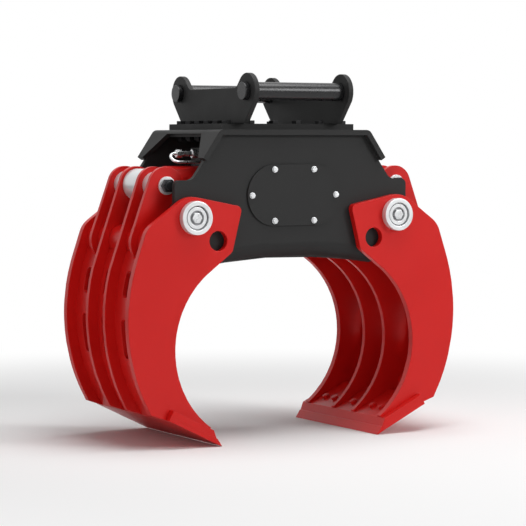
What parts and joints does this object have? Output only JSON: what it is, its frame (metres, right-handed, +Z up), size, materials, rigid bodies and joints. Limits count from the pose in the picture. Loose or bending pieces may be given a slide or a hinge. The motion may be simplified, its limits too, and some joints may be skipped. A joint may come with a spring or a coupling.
{
  "type": "log grapple",
  "caption": "Log grapple with two curved plate claws hinged on a box frame, a cross cylinder between their lugs, and a pin-on bracket on top.",
  "frame": {"origin": "bottom centre of the bounding box, on the ground under the middle of the grapple", "axes": "+X across the opening of the claws, -Y towards the front cover, +Z up"},
  "size_m": [1.256, 0.6, 1.226],
  "materials": {
    "frame_paint": "satin dark grey paint",
    "claw_paint": "semi-gloss red paint",
    "bare_ring": "light machined steel",
    "pin_steel": "turned steel",
    "zinc": "bright zinc plate",
    "dark_zinc": "dark plated steel",
    "black_oxide": "black oxide",
    "black_pin": "glossy black hardened steel",
    "bronze": "plain bearing bush",
    "chrome_rod": "hard chrome"
  },
  "bodies": {
    "frame": {"frame_shell": "frame_paint", "deck_plate": "frame_paint", "base_plate": "frame_paint", "flange_bolts": "black_oxide", "ear_left": "frame_paint", "ear_right": "frame_paint", "coupler_pins": "black_pin", "side_cover_front": "frame_paint", "side_cover_rear": "frame_paint", "cover_bolts": "zinc", "hub_bosses": "frame_paint", "hub_bushes": "bronze", "cross_tube": "frame_paint"},
    "claw_left": {"outer_plate_front_left": "claw_paint", "outer_plate_rear_left": "claw_paint", "mid_plate_front_left": "claw_paint", "mid_plate_rear_left": "claw_paint", "lug_plates_left": "claw_paint", "torque_tube_left": "claw_paint", "web_panels_left": "claw_paint", "toe_plate_left": "claw_paint", "cutting_edge_left": "claw_paint", "edge_bolts_left": "claw_paint", "hub_rings_left": "bare_ring", "pivot_pins_left": "pin_steel", "pin_caps_left": "bare_ring", "pivot_bolts_left": "zinc", "lug_pin_left": "pin_steel", "lug_spacers_left": "bare_ring", "lug_washers_left": "bare_ring", "lug_nuts_left": "dark_zinc"},
    "claw_right": {"outer_plate_front_right": "claw_paint", "outer_plate_rear_right": "claw_paint", "mid_plate_front_right": "claw_paint", "mid_plate_rear_right": "claw_paint", "lug_plates_right": "claw_paint", "torque_tube_right": "claw_paint", "web_panels_right": "claw_paint", "toe_plate_right": "claw_paint", "cutting_edge_right": "claw_paint", "edge_bolts_right": "claw_paint", "hub_rings_right": "bare_ring", "pivot_pins_right": "pin_steel", "pin_caps_right": "bare_ring", "pivot_bolts_right": "zinc", "lug_pin_right": "pin_steel", "lug_spacers_right": "bare_ring", "lug_washers_right": "bare_ring", "lug_nuts_right": "dark_zinc"},
    "barrel": {"cylinder_barrel": "claw_paint", "barrel_eye": "bare_ring", "cylinder_gland": "frame_paint", "valve_block": "black_oxide", "port_fittings": "zinc", "oil_pipes": "zinc"},
    "rod": {"piston_rod": "chrome_rod", "piston": "pin_steel", "rod_eye": "bare_ring"}
  },
  "joints": [
    {"name": "claw_left_hinge", "type": "hinge", "parent": "frame", "child": "claw_left", "pos_m": [-0.388, 0, 0.751], "axis": [0, 1, 0], "range_deg": [-24, 44]},
    {"name": "claw_right_hinge", "type": "hinge", "parent": "frame", "child": "claw_right", "pos_m": [0.388, 0, 0.751], "axis": [0, 1, 0], "range_deg": [-44, 24]},
    {"name": "barrel_hinge", "type": "hinge", "parent": "claw_left", "child": "barrel", "pos_m": [-0.445, 0, 0.855], "axis": [0, 1, 0], "range_deg": [-44, 24]},
    {"name": "rod_hinge", "type": "hinge", "parent": "claw_right", "child": "rod", "pos_m": [0.445, 0, 0.855], "axis": [0, 1, 0], "range_deg": [-24, 44]}
  ],
  "couplings": [
    {"joint": "claw_right_hinge", "follows": "claw_left_hinge", "ratio": -1},
    {"joint": "barrel_hinge", "follows": "claw_left_hinge", "ratio": -1},
    {"joint": "rod_hinge", "follows": "claw_left_hinge", "ratio": 1}
  ]
}
